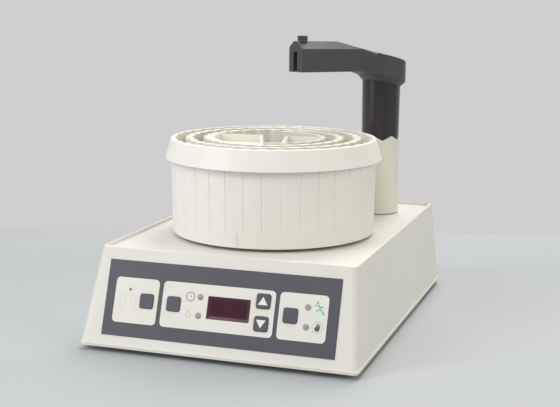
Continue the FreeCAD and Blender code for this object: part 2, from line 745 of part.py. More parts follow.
inner_edge = inner_track - half_channel
inner_guide = ring(inner_edge, inner_edge - inner_wall_width, floor_top, rack_top, 0, rack_y)
far = 200.0
wall_end = math.radians(inner_wall_end)
sweep = [(0.0, rack_y), (far * math.cos(wall_end), rack_y + far * math.sin(wall_end)),
         (-far, rack_y + far), (-far, -far), (-30.0, -far)]
inner_guide = inner_guide.cut(plate(sweep, 0, 300))
inner_guide = inner_guide.cut(plate(left_island, 0, 300))
right_body, right_tray = island(right_island, inner_edge - 2.0, inner_edge - inner_wall_width + 2.0)
inner_guide = inner_guide.fuse(right_body)
inner_guide = inner_guide.cut(pockets(inner_track, inner_pockets, floor_top - 1, rack_top + 1))
inner_guide = inner_guide.cut([right_tray, island_relief])
save("guide_wall_inner", inner_guide)

# Post with its crown of teeth, and the sleeve that meshes with it


def crown(height_shift):
    """Six teeth whose flanks are planes through the axis, as in a face coupling."""
    reach = 1.8
    half = math.pi / crown_teeth
    low = post_valley + height_shift
    tip = Vector(reach * post_top_radius, 0, low + reach * crown_height)
    side = reach * post_top_radius / math.cos(half) ** 2
    ends = [Vector(side * math.cos(a), side * math.sin(a), low) for a in (-half, half)]
    apex = Vector(0, 0, low)
    faces = [Part.Face(Part.makePolygon([a, b, c, a])) for a, b, c in
             ((apex, ends[0], tip), (apex, tip, ends[1]), (apex, ends[1], ends[0]), (ends[0], ends[1], tip))]
    tooth = Part.makeSolid(Part.makeShell(faces))
    teeth = around(tooth, crown_teeth, 0, 0, crown_phase + 30.0)
    return teeth


post_bottom = turntable_bottom
crown_top = post_valley + crown_height + 3.0
taper = (post_bottom_radius - post_top_radius) / (post_valley - post_bottom)
crown_radius = post_top_radius - taper * (crown_top - post_valley)
bore = post_top_radius - post_wall
band = cone(post_top_radius, crown_radius, post_valley, crown_top)
post = cone(post_bottom_radius, post_top_radius, post_bottom, post_valley)
teeth = [tooth.common(band) for tooth in crown(0)]
post = post.fuse(teeth).fuse(cylinder(spigot_radius, gear_level - 4, post_bottom))
web_bore = arm_shaft_radius + 3.0
post = post.cut([cylinder(bore, post_bottom + 6, post_web_low), cylinder(bore, post_web_high, 200),
                 cylinder(web_bore, gear_level - 5, 200)])
post = post.translated(Vector(post_x, post_y, 0))
save("arm_post", post)
post_bush = flanged_bush(spigot_radius, post_bush_radius, boss_low, post_bush_radius + 3.0)
save("post_bush", post_bush.translated(Vector(post_x, post_y, 0)))
shaft_bushes = [ring(web_bore, arm_shaft_radius + slip_fit, low, high, post_x, post_y)
                for low, high in ((post_web_low, post_web_high), (gear_level - 4, gear_level + 8))]
save("shaft_bushes", *shaft_bushes)
arm_gear = gear(arm_teeth, gear_level, gear_level + gear_thickness, spigot_radius)
arm_gear.rotate(Vector(0, 0, 0), UP, 180)
arm_gear = arm_gear.fuse(ring(spigot_radius + 4, spigot_radius, gear_level - 4, gear_level + 0.5))
save("arm_gear", arm_gear.translated(Vector(post_x, post_y, 0)))

# Arm in its own coordinates: x along it, y across, z up


def side_profile(points, half):
    wire = Part.makePolygon([Vector(x, -half, z) for x, z in points + points[:1]])
    return Part.Face(wire).extrude(Vector(0, 2 * half, 0))


def rise(s):
    return math.tan(math.radians(arm_rise)) * (s - arm_length)


def under(s):
    return head_under + math.tan(math.radians(under_slope)) * s


def over(s):
    return arm_ridge + rise(ridge_end) - math.tan(math.radians(top_slope)) * (ridge_end - s)


rear = -head_radius
profile = [(arm_length, arm_under), (arm_length, arm_ridge), (ridge_end, arm_ridge + rise(ridge_end)),
           (rear, over(rear)), (rear, under(rear)), (throat, under(throat)),
           (flat_end, arm_under + rise(flat_end))]
reach = math.hypot(throat - 2.0, arm_half_width)
tangent = math.atan2(arm_half_width, throat - 2.0) + math.acos(head_radius / reach)
tx, ty = head_radius * math.cos(tangent), head_radius * math.sin(tangent)
outline = [(arm_length, -arm_half_width), (arm_length, arm_half_width), (throat - 2.0, arm_half_width),
           (tx, ty), (0.0, 0.0), (tx, -ty), (throat - 2.0, -arm_half_width)]
arm_low, arm_high = under(rear) - 2 * neck_depth, arm_ridge + 10
plan = plate(outline, arm_low, arm_high).fuse(cylinder(head_radius, arm_low, arm_high))
tip_edges = [e for e in plan.Edges if e.BoundBox.ZLength > 1.0 and e.BoundBox.XMin > arm_length - 0.01]
plan = plan.makeFillet(tip_corner, tip_edges)
beam = plan.common(side_profile(profile, head_radius + 1))
chamfer_rise = arm_ridge - arm_side_top
chamfer_run = arm_half_width - ridge_half_width
for side in (-1, 1):
    y0, y1 = side * (arm_half_width + chamfer_run), side * (ridge_half_width - chamfer_run)
    points = [Vector(arm_length + 1, y0, arm_side_top - chamfer_rise),
              Vector(arm_length + 1, y1, arm_ridge + chamfer_rise),
              Vector(arm_length + 1, y0, arm_ridge + chamfer_rise)]
    corner = Part.Face(Part.makePolygon(points + points[:1]))
    wedge_cut = corner.extrude(Vector(throat - arm_length - 20, 0, 0))
    wedge_cut.rotate(Vector(arm_length, 0, arm_side_top), Vector(0, 1, 0), -arm_rise)
    beam = beam.cut(wedge_cut)


def neck_ring(radius, centre):
    """The edge of an upright cylinder on a plane that slopes like the head's underside."""
    lift = math.tan(math.radians(under_slope)) * radius
    return Part.Wire(Part.Ellipse(Vector(radius, 0, centre + lift), Vector(0, radius, centre),
                                  Vector(0, 0, centre)).toShape())


beam = beam.fuse(Part.makeLoft([neck_ring(head_radius, head_under),
                                neck_ring(sleeve_top_radius, head_under - neck_depth)], True, True))
beam = beam.cut([block(drop_at, arm_length + 1, -slot_width / 2, slot_width / 2,
                       arm_low, arm_under + slot_height),
                 cylinder(nozzle_radius, arm_low, arm_high, drop_at, 0),
                 cylinder(arm_shaft_radius, arm_low, shaft_top)])


def sensor_pin(start, length):
    """A round piece across the slot, at the height where a falling drop passes."""
    place = Vector(arm_length - sensor_setback, start, arm_under + sensor_level)
    return Part.makeCylinder(sensor_radius, length, place, Vector(0, 1, 0))


sensor_start = sensor_cover - arm_half_width
beam = beam.cut(sensor_pin(sensor_start, -2 * sensor_start))
save("arm_beam", on_arm(beam))

span = 2 * head_radius
sleeve = cone(post_top_radius, sleeve_top_radius, post_valley + crown_gap, under(head_radius))
sleeve = sleeve.common(side_profile([(-span, post_valley - span), (span, post_valley - span),
                                     (span, under(span) - neck_depth),
                                     (-span, under(-span) - neck_depth)], span))
sleeve = sleeve.cut([cylinder(bore, post_valley - 1, head_under - neck_depth - sleeve_plug),
                     cylinder(arm_shaft_radius, post_valley - 1, arm_high)])
turned_crown = [tooth.rotated(Vector(0, 0, 0), UP, -arm_heading) for tooth in crown(crown_gap)]
sleeve = sleeve.cut(turned_crown)
save("arm_sleeve", on_arm(sleeve))

shaft_low = gear_level - 2.0
collar_high = post_web_low - spring_room
arm_shaft = cylinder(arm_shaft_radius, shaft_low, shaft_top)
save("arm_shaft", on_arm(arm_shaft))
collar = ring(collar_radius, arm_shaft_radius, collar_high - collar_height, collar_high)
save("shaft_collar", on_arm(collar))


def arc_between(start, corner, end):
    """The arc tangent to both legs of an isosceles corner."""
    chord = (start + end) * 0.5
    rise_to_corner = corner - chord
    half_chord = (end - start).Length / 2
    sagitta = half_chord * math.tan(math.atan2(rise_to_corner.Length, half_chord) / 2)
    middle = chord + rise_to_corner * (sagitta / rise_to_corner.Length)
    return Part.Arc(start, middle, end).toShape()


def coil_path(radius, pitch, turns, low):
    """A helix drawn as two tangent arcs per half turn."""
    def at(angle):
        return Vector(radius * math.cos(angle), radius * math.sin(angle), low + pitch * angle / (2 * math.pi))

    def heading(angle):
        return Vector(-radius * math.sin(angle), radius * math.cos(angle), pitch / (2 * math.pi)).normalize()

    edges = []
    for i in range(2 * turns):
        a, b = math.pi * i, math.pi * (i + 1)
        start, end, leave, arrive = at(a), at(b), heading(a), heading(b)
        span, both = end - start, leave + arrive
        k = 2 * (1 - leave.dot(arrive))
        reach = (math.sqrt(span.dot(both) ** 2 + k * span.dot(span)) - span.dot(both)) / k
        first, second = start + leave * reach, end - arrive * reach
        joint = (first + second) * 0.5
        edges += [arc_between(start, first, joint), arc_between(joint, second, end)]
    return Part.Wire(edges)


def least_gap(path, wire, half_turn):
    """The least clear distance from a wound wire to itself, measured on points along its middle."""
    points = path.discretize(Number=80 * spring_turns + 1)
    skip = int(half_turn / path.Length * (len(points) - 1))
    apart = [points[i].distanceToPoint(points[j])
             for i in range(len(points)) for j in range(i + skip, len(points))]
    return min(apart) - wire


spring_length = post_web_low - collar_high - spring_wire - 2 * spring_seat
path = coil_path(spring_mean_radius, spring_length / spring_turns, spring_turns,
                 collar_high + spring_wire / 2 + spring_seat)
first_edge = path.Edges[0]
along = first_edge.tangentAt(first_edge.FirstParameter)
outward = Vector(1, 0, 0)
sides = [2 * math.pi * i / spring_wire_sides for i in range(spring_wire_sides + 1)]
section = Part.makePolygon([first_edge.valueAt(first_edge.FirstParameter)
                            + outward * (spring_wire / 2 * math.cos(a))
                            + outward.cross(along) * (spring_wire / 2 * math.sin(a)) for a in sides])
coil = path.makePipeShell([section], True, False)
print("spring: wire", round(path.Length, 1), "mm, volume over section times length",
      round(coil.Volume / (path.Length * Part.Face(section).Area), 4),
      "least gap to itself", round(least_gap(path, spring_wire, math.pi * spring_mean_radius), 2), "mm")
save("arm_spring", on_arm(coil))

# Drop head in the arm's tip

top_at_drop = arm_ridge + rise(drop_at)
nozzle = ring(nozzle_radius, nozzle_bore, arm_under + rise(drop_at) + nozzle_rise, top_at_drop, drop_at, 0)
save("drop_nozzle", on_arm(nozzle))
sensors = [sensor_pin(start, -sensor_start - slot_width / 2) for start in (sensor_start, slot_width / 2)]
save("drop_sensors", *[on_arm(s) for s in sensors])
knob_seat = arm_ridge + rise(drop_at + knob_radius) + knob_gap
knob = cylinder(knob_radius, knob_seat, top_at_drop + knob_height, drop_at, 0)
flute = cylinder(0.5, top_at_drop, top_at_drop + 2 * knob_height, drop_at + knob_radius + 0.1, 0)
knob_edges = [e for e in knob.Edges if e.BoundBox.ZLength < 0.01 and e.BoundBox.ZMin > top_at_drop + 1]
knob = knob.makeChamfer(0.4, knob_edges)
knob = knob.cut(around(flute, knob_flutes, drop_at, 0)
                + [cylinder(nozzle_bore, arm_low, arm_high, drop_at, 0)])
save("clamp_knob", on_arm(knob))

# Mains inlet, switch and supply

frame_front = 1.0 - lip
inlet = back_plate(inlet_x, inlet_s, inlet_flange, 3.0, -lip, frame_front)
inlet = inlet.fuse(back_plate(inlet_x, inlet_s, inlet_body, 2.0, -inlet_depth, frame_front))
inlet = inlet.cut(back_plate(inlet_x, inlet_s, inlet_socket, 3.0, -inlet_depth + 6, 3.0))
save("power_inlet", inlet)
pins = [back_plate(inlet_x + dx, inlet_s + ds, inlet_pin, 0.4, -inlet_depth + 6, -pin_setback)
        for dx, ds in ((-7.0, -1.5), (0.0, 2.5), (7.0, -1.5))]
save("inlet_pins", *pins)
rocker_housing = back_plate(switch_x, inlet_s, rocker_frame, 2.0, -lip, frame_front)
rocker_housing = rocker_housing.fuse(back_plate(switch_x, inlet_s, rocker_body, 1.0, -20.0, frame_front))
cavity = (rocker_size[0] + 2 * rocker_gap, rocker_size[1] + 2 * rocker_gap + 1.0)
rocker_housing = rocker_housing.cut(back_plate(switch_x, inlet_s, cavity, 0.5, -10.0, 3.0))
trunnion_half = rocker_body[0] / 2 - 1.0


def trunnion(radius):
    start = Vector(-trunnion_half, 0, -rocker_pivot)
    return Part.makeCylinder(radius, 2 * trunnion_half, start, Vector(1, 0, 0))


def at_switch(shape):
    return on_back(shape.translated(Vector(-switch_x, inlet_s, 0)))


save("power_switch", rocker_housing.cut(at_switch(trunnion(1.2 + slip_fit))))
half_rocker = rocker_size[1] / 2
rocker_outline = [(-half_rocker, -3.0), (-half_rocker, 0.4), (0, -1.6), (half_rocker, 0.4),
                  (half_rocker, -3.0), (0, -7.5)]
wire = Part.makePolygon([Vector(-rocker_size[0] / 2, s, h) for s, h in rocker_outline + rocker_outline[:1]])
rocker = Part.Face(wire).extrude(Vector(rocker_size[0], 0, 0)).fuse(trunnion(1.2))
rocker.rotate(Vector(0, 0, -rocker_pivot), Vector(1, 0, 0), rocker_tilt)
save("power_rocker", at_switch(rocker))

tx0, ty0 = transformer_side_inset - half_width, half_depth - transformer_back_inset
cx, cy, cz = transformer_core
core = block(tx0 - cx / 2, tx0 + cx / 2, ty0 - cy / 2, ty0 + cy / 2, plate_top, plate_top + cz)
window = block(tx0 - cx / 4, tx0 + cx / 4, ty0 - cy / 2 - 1, ty0 + cy / 2 + 1,
               plate_top + cz / 4, plate_top + 3 * cz / 4)
save("transformer_core", core.cut(window))
coil_body = pad(tx0 - cx / 4, tx0 + cx / 4, ty0 - cy / 2 - coil_margin, ty0 + cy / 2 + coil_margin, 3.0,
                plate_top + cz / 4, plate_top + 3 * cz / 4)
save("transformer_coil", coil_body)
w, d = supply_size
bx, by = tx0 + 3.0, ty0 - cy / 2 - supply_gap - d / 2
supply_level = plate_top + spacer_height
supply = pad(bx - w / 2, bx + w / 2, by - d / 2, by + d / 2, 2.0,
             supply_level, supply_level + board_thickness)
legs = [(bx + sx * (w / 2 - spacer_inset), by + sy * (d / 2 - spacer_inset))
        for sx in (-1, 1) for sy in (-1, 1)]
save("supply_board", supply)
save("supply_spacers", *[cylinder(spacer_radius, plate_top, supply_level, x, y) for x, y in legs])
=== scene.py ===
import json
import math

import bmesh
import bpy
from mathutils import Matrix, Vector


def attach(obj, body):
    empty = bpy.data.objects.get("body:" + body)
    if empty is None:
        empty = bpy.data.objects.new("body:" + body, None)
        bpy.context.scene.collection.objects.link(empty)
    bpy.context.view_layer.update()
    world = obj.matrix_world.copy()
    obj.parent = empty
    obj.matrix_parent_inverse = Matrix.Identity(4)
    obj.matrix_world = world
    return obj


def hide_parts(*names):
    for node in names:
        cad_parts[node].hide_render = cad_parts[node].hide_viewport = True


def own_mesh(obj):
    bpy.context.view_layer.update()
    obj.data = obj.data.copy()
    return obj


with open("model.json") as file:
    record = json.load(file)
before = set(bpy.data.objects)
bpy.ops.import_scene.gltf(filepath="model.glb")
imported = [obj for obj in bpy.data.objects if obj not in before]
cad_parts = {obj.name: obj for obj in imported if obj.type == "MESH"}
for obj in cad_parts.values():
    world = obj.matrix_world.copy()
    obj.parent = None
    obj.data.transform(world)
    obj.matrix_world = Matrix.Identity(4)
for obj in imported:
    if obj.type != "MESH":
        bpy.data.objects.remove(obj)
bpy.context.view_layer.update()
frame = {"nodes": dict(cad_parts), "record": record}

# %% [markdown]
# A bench fraction collector turns a round rack of test tubes under a drop arm.
# Its working parts are already built as exact solids, so this lesson dresses
# them: it gives every piece a finish, prints the small marks on the control
# panel, and sets up a table, soft lamps and the camera.
# Lengths are in metres, and in millimetres where a cell works on the panel.
# The front of the machine faces -Y and +Z is up.

# %% Millimetres
MM = 0.001

# %% [markdown]
# The control panel lies in the sloping front wall. Its marks are easiest to
# place in the panel's own coordinates, in millimetres: x across, s up the
# slope and h outwards, from the foot of the front wall. One matrix then
# carries them to the machine, so no mark has to be turned by hand.
# The two faces that are printed on are given as heights above the wall.

# %% Panel coordinates
lean_back, lean_height = 31.2, 88.9
wall_foot = Vector((0, -186.7 * MM, 5 * MM))
panel_face, key_face = -0.1, 1.2
front_lean = math.atan2(lean_back, lean_height)
across = Vector((1, 0, 0))
up_slope = Vector((0, math.sin(front_lean), math.cos(front_lean)))
outward = Vector((0, -math.cos(front_lean), math.sin(front_lean)))
PANEL = Matrix((across, up_slope, outward)).transposed().to_4x4()
PANEL.translation = wall_foot
PANEL = PANEL @ Matrix.Scale(MM, 4)
print("front wall leans", round(math.degrees(front_lean), 2), "degrees")

# %% [markdown]
# Every finish starts as the same small graph: object coordinates feed a few
# noise textures, and those vary the colour, the gloss and a fine bump.
# Object coordinates are metres on the machine itself, so a grain size can be
# written as it would be measured with a loupe, and it stays put as parts move.
# A linked value is only used where the surface really varies. What is the
# same all over is typed into the shader's own socket.

# %% A graph to hang a finish on
class Finish:
    """One material, with the few kinds of node that this machine's finishes use."""

    def __init__(self, name):
        self.material = bpy.data.materials.new(name)
        self.material.use_nodes = True
        self.nodes = self.material.node_tree.nodes
        self.links = self.material.node_tree.links
        self.shader = self.nodes["Principled BSDF"]
        self.place = self.nodes.new("ShaderNodeTexCoord").outputs["Object"]

    def add(self, kind, **settings):
        node = self.nodes.new(kind)
        for key, value in settings.items():
            setattr(node, key, value)
        return node

    def set(self, **sockets):
        """Type values into the shader's sockets, with _ for a space in a name."""
        for key, value in sockets.items():
            self.shader.inputs[key.replace("_", " ")].default_value = value
        return self

    def stretched(self, scale, turn=(0, 0, 0)):
        """Object coordinates, scaled by axis. The turn only picks other clouds."""
        mapping = self.add("ShaderNodeMapping")
        mapping.inputs["Scale"].default_value = scale
        mapping.inputs["Rotation"].default_value = turn
        self.links.new(self.place, mapping.inputs["Vector"])
        return mapping.outputs["Vector"]

    def noise(self, scale, detail=3.0, rough=0.55, vector=None):
        """A cloudy value: a larger scale makes smaller clouds."""
        node = self.add("ShaderNodeTexNoise")
        node.inputs["Scale"].default_value = scale
        node.inputs["Detail"].default_value = detail
        node.inputs["Roughness"].default_value = rough
        self.links.new(vector or self.place, node.inputs["Vector"])
        return node.outputs["Fac"]

    def between(self, value, low, high, to_low=0.0, to_high=1.0):
        """Stretch a value, so that low becomes to_low and high becomes to_high."""
        node = self.add("ShaderNodeMapRange")
        ends = {"From Min": low, "From Max": high, "To Min": to_low, "To Max": to_high}
        for socket, number in ends.items():
            node.inputs[socket].default_value = number
        self.links.new(value, node.inputs["Value"])
        return node.outputs["Result"]

    def math(self, operation, a, b):
        node = self.add("ShaderNodeMath", operation=operation)
        for socket, value in zip(node.inputs, (a, b)):
            if isinstance(value, (int, float)):
                socket.default_value = value
            else:
                self.links.new(value, socket)
        return node.outputs["Value"]

    def mix(self, factor, a, b):
        """Colour a where the factor is 0, and colour b where it is 1."""
        node = self.add("ShaderNodeMix", data_type="RGBA")
        self.links.new(factor, node.inputs["Factor"])
        for socket, value in (("A", a), ("B", b)):
            target = [i for i in node.inputs if i.name == socket and i.type == "RGBA"][0]
            if isinstance(value, tuple):
                target.default_value = (*value, 1.0)
            else:
                self.links.new(value, target)
        return [o for o in node.outputs if o.type == "RGBA"][0]

    def colour(self, value):
        self.links.new(value, self.shader.inputs["Base Color"])
        return self

    def gloss(self, value):
        self.links.new(value, self.shader.inputs["Roughness"])
        return self

    def bump(self, height, strength, distance):
        node = self.add("ShaderNodeBump")
        node.inputs["Strength"].default_value = strength
        node.inputs["Distance"].default_value = distance
        self.links.new(height, node.inputs["Height"])
        self.links.new(node.outputs["Normal"], self.shader.inputs["Normal"])
        return self


def tone(*shown):
    """Red, green and blue as a picture editor shows them, turned into light."""
    return tuple((c / 255 / 12.92) if c <= 10 else ((c / 255 + 0.055) / 1.055) ** 2.4
                 for c in shown)


print("a mid grey of 128 stands for", round(tone(128, 128, 128)[0], 3), "of the light")

# %% [markdown]
# The case is moulded plastic with a fine spark-eroded grain. Decades of
# daylight have yellowed it unevenly, and hands and benches leave faint grey
# scuffs. A broad noise moves between two ivories, a middling one adds the
# blotches, and a sharp threshold on a third leaves only a few scuffed spots.
# Upright walls can have faint streaks too, from a noise drawn out along Z.
# Most finishes serve several pieces and go in one table, by the name that the
# record has for them. The other table is for single pieces.

# %% Aged moulded plastic
def moulded(name, pale, aged, rough=0.42, grain=1500.0, depth=0.00004, scuff=None, streaks=False):
    look = Finish(name)
    broad = look.between(look.noise(7.0), 0.35, 0.68)
    blotch = look.between(look.noise(60.0, detail=5.0), 0.4, 0.75, 0.0, 0.35)
    base = look.mix(broad, pale, aged)
    base = look.mix(blotch, base, aged)
    if scuff:
        squeezed = look.stretched((1.0, 1.0, 3.0), turn=(0.3, 0.5, 0.2))
        marks = look.noise(170.0, 8.0, 0.7, squeezed)
        base = look.mix(look.between(marks, 0.66, 0.74, 0.0, 0.45), base, scuff)
    if streaks:
        runs = look.noise(55.0, 4.0, 0.6, look.stretched((1.0, 1.0, 0.06)))
        base = look.mix(look.between(runs, 0.5, 0.8, 0.0, 0.3), base, aged)
    look.colour(base)
    look.gloss(look.between(look.noise(90.0, detail=4.0), 0.3, 0.7, rough - 0.06, rough + 0.08))
    return look.bump(look.noise(grain), 0.35, depth)


FINISH, OWN = {}, {}
FINISH["ivory_case"] = moulded("case_ivory", tone(229, 227, 222), tone(224, 221, 211),
                               scuff=tone(202, 200, 191))
print("the case's finish has", len(FINISH["ivory_case"].nodes), "nodes")

# %% [markdown]
# The rack is the palest plastic, with a finer grain and streaks. Its guide
# walls are a darker, warmer ivory than its outside, which is painted shade
# for the channels between them. The post is yellower than the case, so these
# have finishes of their own. The gears are milky nylon.

# %% Other ivory parts
rack_surface = {"rough": 0.38, "grain": 1900.0, "depth": 0.00002, "streaks": True}
FINISH["ivory_rack"] = moulded("rack_ivory", tone(242, 240, 233), tone(237, 234, 222), **rack_surface)
FINISH["gear_plastic"] = moulded("gear_nylon", tone(232, 231, 222), tone(222, 219, 204),
                                 rough=0.35, grain=900.0)
OWN["arm_post"] = moulded("post_ivory", tone(229, 227, 215), tone(224, 221, 205), streaks=True)
# The guide walls' darker, warmer ivory is painted shade for the channels.
for track in ("outer", "middle", "inner"):
    OWN["guide_wall_" + track] = moulded("guide_shaded_ivory_" + track, tone(228, 227, 215),
                                         tone(222, 220, 206), **rack_surface)
print("ivory finishes", sorted(FINISH), "and for single pieces", sorted(OWN))

# %% [markdown]
# The arm is dark grey plastic with a coarser, deeper grain than the case, and
# it is rubbed lighter in spots. The sleeve below it is smooth, so it is deeper
# in colour and carries a highlight down its length. The black parts at the
# back and the motors' enamel are in between, and rubber is the dullest.

# %% Dark plastics, enamel and rubber
# The turntable's dark grey is painted shade: it darkens the gap under the rack's front edge, where
# the turntable shows.
FINISH["turntable_plastic"] = moulded("turntable_painted_shade", tone(58, 57, 56), tone(49, 48, 47), rough=0.5)
FINISH["arm_grey"] = moulded("arm_charcoal", tone(70, 68, 69), tone(61, 58, 60),
                             grain=1100.0, depth=0.00006, scuff=tone(92, 90, 91))
OWN["arm_sleeve"] = moulded("sleeve_charcoal", tone(49, 43, 48), tone(43, 37, 42),
                            rough=0.2, grain=1300.0, depth=0.00002)
FINISH["black_plastic"] = moulded("moulded_black", tone(40, 40, 42), tone(33, 33, 35), rough=0.4)
FINISH["key_grey"] = moulded("key_slate", tone(84, 82, 92), tone(78, 77, 87),
                             rough=0.5, grain=2200.0, depth=0.00002)
FINISH["rubber"] = moulded("foot_rubber", tone(44, 43, 42), tone(58, 57, 55),
                           rough=0.8, grain=700.0, depth=0.00008)
FINISH["motor_body"] = moulded("motor_enamel", tone(58, 59, 63), tone(50, 50, 54),
                               rough=0.35, grain=800.0)
print("finishes so far", len(FINISH), "and for single pieces", len(OWN))

# %% [markdown]
# The overlay is a printed polyester film: a very fine sandy texture that
# scatters light, with the ink behind it. The cream windows are the same film.
# The film's own surface has a faint sheen, which a thin coat gives.

# %% Printed film
film_rough = 0.46


def film(name, ink, worn):
    look = Finish(name)
    patches = look.between(look.noise(45.0, detail=5.0), 0.35, 0.75, 0.0, 0.7)
    look.colour(look.mix(patches, ink, worn))
    look.gloss(look.between(look.noise(120.0), 0.3, 0.7, film_rough - 0.05, film_rough + 0.06))
    look.set(Coat_Weight=0.12, Coat_Roughness=0.4)
    return look.bump(look.noise(3200.0, detail=2.0), 0.4, 0.00002)


FINISH["panel_grey"] = film("film_slate", tone(77, 78, 87), tone(70, 71, 79))
FINISH["window_cream"] = film("film_cream", tone(231, 229, 220), tone(225, 223, 211))
INK = {"white": film("ink_white", tone(238, 238, 234), tone(228, 228, 222)),
       "slate": film("ink_slate", tone(88, 90, 94), tone(74, 76, 80)),
       "pale": film("ink_pale", tone(176, 176, 168), tone(190, 190, 181)),
       "faint": film("ink_faint", tone(205, 204, 194), tone(212, 211, 201)),
       "green": film("ink_green", tone(96, 198, 156), tone(120, 206, 170))}
print("inks", sorted(INK))

# %% [markdown]
# The display's filter is a dark red transparent plate in front of unlit
# digits, so it reads as maroon with a gloss. A see-through plate would only
# show the dark behind it, so it is made as a solid colour instead. Its centre
# is deepest, and a lighter red is painted towards the rim as painted light, for
# the light the rim catches: how far a point lies from the centre, across and
# up the slope, says how much of that painted rim highlight it gets.

# %% Display filter
filter_centre = PANEL @ Vector((9.7, 46.0, 0.0))
filter_half_width, filter_half_height, rim_light_band = 20.7 * MM, 10.5 * MM, 4.2 * MM
look = Finish("display_filter")
offset = look.add("ShaderNodeVectorMath", operation="SUBTRACT")
look.links.new(look.place, offset.inputs[0])
offset.inputs[1].default_value = filter_centre
rim_light_nearness = []
for axis, half in ((across, filter_half_width), (up_slope, filter_half_height)):
    dot = look.add("ShaderNodeVectorMath", operation="DOT_PRODUCT")
    look.links.new(offset.outputs["Vector"], dot.inputs[0])
    dot.inputs[1].default_value = axis
    distance = look.math("ABSOLUTE", dot.outputs["Value"], 0.0)
    rim_light_nearness.append(look.between(distance, half - rim_light_band, half))
# The lighter red near the edge is a painted highlight on the rim.
painted_rim_light = look.math("MULTIPLY", look.math("MAXIMUM", *rim_light_nearness), 0.55)
cloud = look.between(look.noise(110.0), 0.35, 0.7, 0.0, 0.5)
depths = look.mix(cloud, tone(58, 20, 34), tone(70, 28, 48))
look.colour(look.mix(painted_rim_light, depths, tone(100, 58, 72)))
look.gloss(look.between(look.noise(60.0), 0.3, 0.7, 0.14, 0.24))
FINISH["display_red"] = look.set(Coat_Weight=0.15, Coat_Roughness=0.1, Specular_IOR_Level=0.3)
print("filter centre in mm", [round(v / MM, 1) for v in filter_centre])

# %% [markdown]
# The four lamps are small frosted lenses, unlit. Glass would show the dark
# case behind them, so a pale grey-green body with a coat stands for them.

# %% Frosted lenses
look = Finish("lamp_lens")
frost = look.between(look.noise(900.0, detail=2.0), 0.35, 0.65)
look.colour(look.mix(frost, tone(140, 144, 132), tone(168, 170, 158)))
FINISH["lamp"] = look.set(Roughness=0.3, Coat_Weight=0.3).bump(look.noise(1600.0), 0.3, 0.00004)
print("finishes so far", len(FINISH))

# %% [markdown]
# Turned metal shows fine rings round the tool's axis. They come from one
# noise squeezed along that axis, here the upright one. The same squeeze wraps
# tape round the transformer's coil, and a noise drawn out the other way gives
# the copper tracks that show through a circuit board's green mask.

# %% Metals, boards and windings
def metal(name, bright, dark, rough=0.28):
    look = Finish(name)
    rings = look.noise(1.0, 4.0, 0.6, look.stretched((30.0, 30.0, 1400.0)))
    look.colour(look.mix(look.between(rings, 0.3, 0.7), bright, dark))
    look.gloss(look.between(rings, 0.3, 0.7, rough - 0.06, rough + 0.1))
    return look.set(Metallic=1.0).bump(rings, 0.2, 0.00002)


FINISH["steel"] = metal("turned_steel", tone(205, 205, 208), tone(178, 178, 182))
FINISH["bronze"] = metal("bearing_bronze", tone(205, 170, 112), tone(178, 142, 90), rough=0.34)
look = Finish("solder_mask")
tracks = look.noise(260.0, 1.0, 0.4, look.stretched((1.0, 0.15, 0.15)))
look.colour(look.mix(look.between(tracks, 0.52, 0.55), tone(28, 92, 58), tone(62, 128, 84)))
FINISH["board_green"] = look.set(Roughness=0.34).bump(tracks, 0.3, 0.00003)
look = Finish("coil_tape")
wraps = look.noise(1.0, 2.0, 0.5, look.stretched((60.0, 60.0, 900.0)))
look.colour(look.mix(look.between(wraps, 0.4, 0.6), tone(214, 178, 84), tone(196, 158, 66)))
FINISH["copper"] = look.set(Roughness=0.45).bump(wraps, 0.4, 0.00006)
print("finishes in all", len(FINISH))

# %% [markdown]
# The record says which finish each piece takes, so one loop dresses them all
# and no piece can be forgotten. A finish for the single piece comes first.

# %% Dress every solid
for part in frame["record"]["subparts"]:
    node, finish = part["node"], FINISH[part["material_slot"]]
    piece = frame["nodes"][node]
    piece.data.materials.clear()
    piece.data.materials.append(OWN.get(node, finish).material)

# %% [markdown]
# The spring inside the post holds the arm down on its crown. As the arm is
# lifted, the collar under the spring rises with it and the coil is pressed
# shorter against the post. A solid can't do that, so a copy of the coil with
# a mesh of its own stands for it, and the copy rides on the arm.

# %% A copy of the coil that rides on the arm
def finished_mesh(name, shape):
    """A mesh from a bmesh, which is then let go."""
    mesh = bpy.data.meshes.new(name)
    shape.to_mesh(mesh)
    shape.free()
    return mesh


def in_scene(name, data):
    """An object that holds a mesh, a curve, a lamp or a camera, put in the scene."""
    thing = bpy.data.objects.new(name, data)
    bpy.context.scene.collection.objects.link(thing)
    return thing


coil = bmesh.new()
coil.from_mesh(frame["nodes"]["arm_spring"].data)
coil.transform(frame["nodes"]["arm_spring"].matrix_world)
bmesh.ops.remove_doubles(coil, verts=coil.verts, dist=0.001 * MM)
pressed_spring = in_scene("pressed_spring", finished_mesh("pressed_spring", coil))
pressed_spring.data.materials.append(FINISH["steel"].material)
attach(pressed_spring, "arm")
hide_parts("arm_spring")
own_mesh(pressed_spring)
print("faces", len(pressed_spring.data.polygons))

# %% [markdown]
# The marks on the panel are printed, so each is a film of ink about a tenth of
# a millimetre thick. They could be painted in a picture, but a real shape
# stays sharp from close by. A mark starts as a flat outline in panel
# coordinates. It is then thickened, carried to the panel by the matrix, and
# made to ride on the body it is printed on, so the arrows go in with their keys.

# %% From a flat outline to a printed mark
ink_height = 0.12


def printed(name, mesh, ink, body="base", face=panel_face):
    """Carry a mark to the panel or to a key, and give it its ink."""
    flat = bmesh.new()
    flat.from_mesh(mesh)
    bmesh.ops.remove_doubles(flat, verts=flat.verts, dist=0.001)
    bmesh.ops.recalc_face_normals(flat, faces=flat.faces)
    bmesh.ops.translate(flat, verts=flat.verts, vec=(0, 0, face))
    bmesh.ops.transform(flat, matrix=PANEL, verts=flat.verts)
    piece = in_scene(name, finished_mesh(name, flat))
    piece.data.materials.append(INK[ink].material)
    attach(piece, body)


